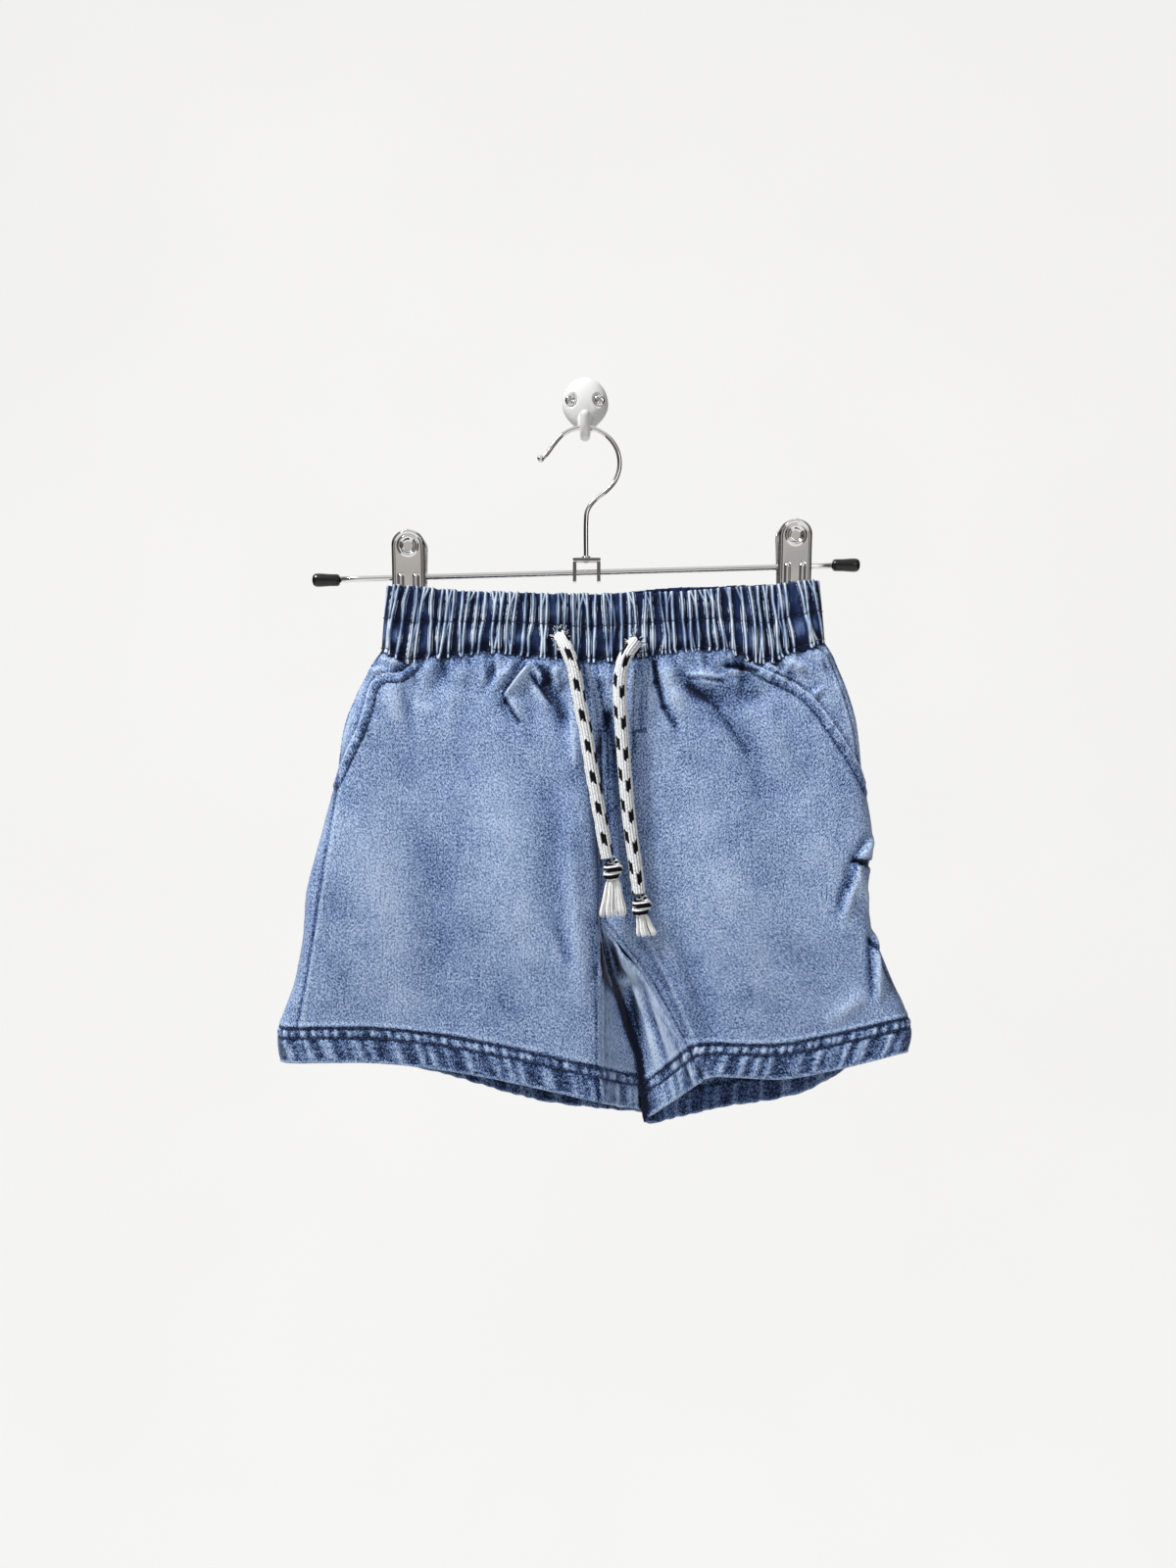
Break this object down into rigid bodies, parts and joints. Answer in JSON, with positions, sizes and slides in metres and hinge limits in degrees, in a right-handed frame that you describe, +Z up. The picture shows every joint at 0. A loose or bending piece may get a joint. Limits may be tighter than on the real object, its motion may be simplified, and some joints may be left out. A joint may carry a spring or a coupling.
{
  "type": "child's elasticated denim shorts on a clip hanger and wall hook",
  "caption": "Faded blue denim pull-on shorts with a gathered waistband and a drawstring, clipped to a chrome hanger that hangs from a white wall hook.",
  "frame": {"origin": "middle of the wall plate's flat back face", "axes": "+X to the right as one faces the wall, +Y into the wall, +Z up"},
  "size_m": [0.3502, 0.0491, 0.4236],
  "materials": {
    "denim": "washed twill, matt",
    "waistband": "gathered twill with worn ridges",
    "hem": "folded twill, puckered",
    "cord": "white braid with black flecks",
    "steel": "bright plate",
    "cap": "dipped, satin",
    "enamel": "gloss white"
  },
  "bodies": {
    "root": {"waistband_front": "waistband", "waistband_back": "waistband", "front_left": "denim", "front_right": "denim", "back_left": "denim", "back_right": "denim", "pocket_facing_left": "denim", "pocket_facing_right": "denim", "hem_front_left": "hem", "hem_front_right": "hem", "hem_back_left": "hem", "hem_back_right": "hem", "drawstring_left": "cord", "drawstring_right": "cord", "knot_left": "cord", "knot_right": "cord", "tassel_left": "cord", "tassel_right": "cord", "hanger_bar": "steel", "hanger_cap_left": "cap", "hanger_cap_right": "cap", "hanger_hook": "steel", "hanger_bracket": "steel", "clip_front_left": "steel", "clip_back_left": "steel", "clip_spring_left": "steel", "clip_front_right": "steel", "clip_back_right": "steel", "clip_spring_right": "steel", "wall_plate": "enamel", "screw_left": "steel", "screw_right": "steel"}
  },
  "joints": []
}
